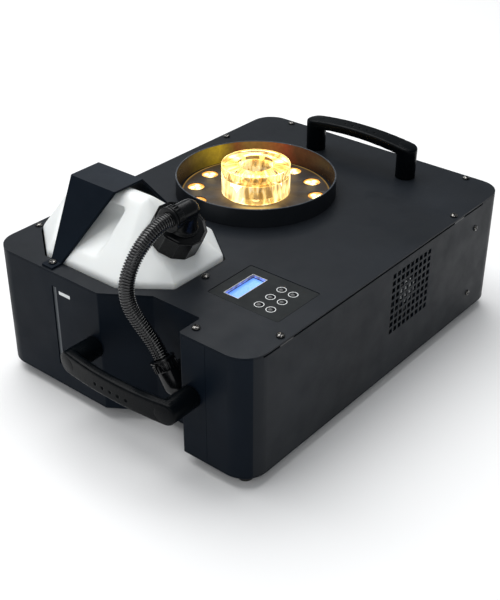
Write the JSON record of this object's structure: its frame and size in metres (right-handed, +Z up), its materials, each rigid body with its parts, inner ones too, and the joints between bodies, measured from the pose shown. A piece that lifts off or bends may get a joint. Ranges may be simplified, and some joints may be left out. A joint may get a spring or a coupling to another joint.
{
  "type": "fog machine",
  "caption": "Floor-standing upward fog machine: black sheet case, light ring round a clear diffuser and nozzle, strapped fluid tank in a bay, control panel, bow handles and round feet.",
  "frame": {"origin": "middle of the whole box, at floor level under the feet", "axes": "+X along the case towards the panel with the mains inlet, away from the notched end; +Y towards the tank side, away from the fan grille; +Z up"},
  "size_m": [0.4748, 0.324, 0.2171],
  "materials": {
    "black_paint": "satin fine-textured powder coat",
    "black_plastic": "moulded, slightly glossy",
    "gloss_black": "glossy",
    "black_rubber": "matte",
    "milky_plastic": "translucent blow-moulded",
    "clear_acrylic": "clear, polished",
    "lens_plastic": "clear, lit warm white",
    "panel_ink": "satin printed film",
    "display_blue": "backlit blue",
    "circuit_green": "solder mask",
    "cast_aluminium": "as cast",
    "brass": "machined",
    "copper": "drawn tube",
    "galvanised": "zinc plated",
    "dark_screw": "black oxide, shiny"
  },
  "bodies": {
    "case": {"top_cover": "black_paint", "fan_side_shell": "black_paint", "tank_side_shell": "black_paint", "rear_panel": "black_paint", "bottom_tray": "black_paint", "tank_bulkhead": "galvanised", "foot_1": "black_rubber", "foot_2": "black_rubber", "foot_3": "black_rubber", "foot_4": "black_rubber", "cover_screw_1": "dark_screw", "cover_screw_2": "dark_screw", "cover_screw_3": "dark_screw", "cover_screw_4": "dark_screw", "cover_screw_5": "dark_screw", "cover_screw_6": "dark_screw", "cover_screw_7": "dark_screw", "cover_screw_8": "dark_screw", "bracket_screw_1": "dark_screw", "bracket_screw_2": "dark_screw", "tank": "milky_plastic", "dip_tube": "milky_plastic", "cap_elbow": "gloss_black", "tank_hose": "gloss_black", "notch_elbow": "gloss_black", "tank_bracket": "black_paint", "light_ring": "black_paint", "light_floor": "black_paint", "lens_array": "lens_plastic", "led_board": "circuit_green", "diffuser_ring": "clear_acrylic", "nozzle": "brass", "heater_block": "cast_aluminium", "heater_cover": "galvanised", "thermostat": "gloss_black", "pump_body": "brass", "pump_coil": "gloss_black", "pump_bracket": "galvanised", "suction_hose": "milky_plastic", "fluid_pipe": "copper", "control_panel": "panel_ink", "display": "display_blue", "control_board": "circuit_green", "fan_frame": "black_plastic", "mains_inlet": "gloss_black", "switch_frame": "gloss_black", "dmx_in": "gloss_black", "dmx_out": "gloss_black", "power_board": "circuit_green", "top_handle": "black_plastic", "front_handle": "black_plastic"},
    "cap": {"tank_cap": "black_plastic"},
    "rotor": {"fan_rotor": "black_plastic"},
    "rocker": {"switch_rocker": "black_plastic"},
    "key_1": {"button_1": "panel_ink"},
    "key_2": {"button_2": "panel_ink"},
    "key_3": {"button_3": "panel_ink"},
    "key_4": {"button_4": "panel_ink"},
    "key_5": {"button_5": "panel_ink"},
    "key_6": {"button_6": "panel_ink"}
  },
  "joints": [
    {"name": "cap_turn", "type": "hinge", "parent": "case", "child": "cap", "pos_m": [-0.1108, 0.0004, 0.1676], "axis": [0, -0.5, 0.866], "range_deg": [0, 540]},
    {"name": "fan_spin", "type": "hinge", "parent": "case", "child": "rotor", "pos_m": [0.0546, -0.15, 0.0955], "axis": [0, 1, 0], "continuous": true},
    {"name": "rocker_tip", "type": "hinge", "parent": "case", "child": "rocker", "pos_m": [0.2326, -0.034, 0.078], "axis": [0, 1, 0], "range_deg": [-20, 0]},
    {"name": "press_1", "type": "slide", "parent": "case", "child": "key_1", "axis": [0, 0, -1], "range_m": [0, 0.0006], "stiffness_N_per_m": 400},
    {"name": "press_2", "type": "slide", "parent": "case", "child": "key_2", "axis": [0, 0, -1], "range_m": [0, 0.0006], "stiffness_N_per_m": 400},
    {"name": "press_3", "type": "slide", "parent": "case", "child": "key_3", "axis": [0, 0, -1], "range_m": [0, 0.0006], "stiffness_N_per_m": 400},
    {"name": "press_4", "type": "slide", "parent": "case", "child": "key_4", "axis": [0, 0, -1], "range_m": [0, 0.0006], "stiffness_N_per_m": 400},
    {"name": "press_5", "type": "slide", "parent": "case", "child": "key_5", "axis": [0, 0, -1], "range_m": [0, 0.0006], "stiffness_N_per_m": 400},
    {"name": "press_6", "type": "slide", "parent": "case", "child": "key_6", "axis": [0, 0, -1], "range_m": [0, 0.0006], "stiffness_N_per_m": 400}
  ]
}
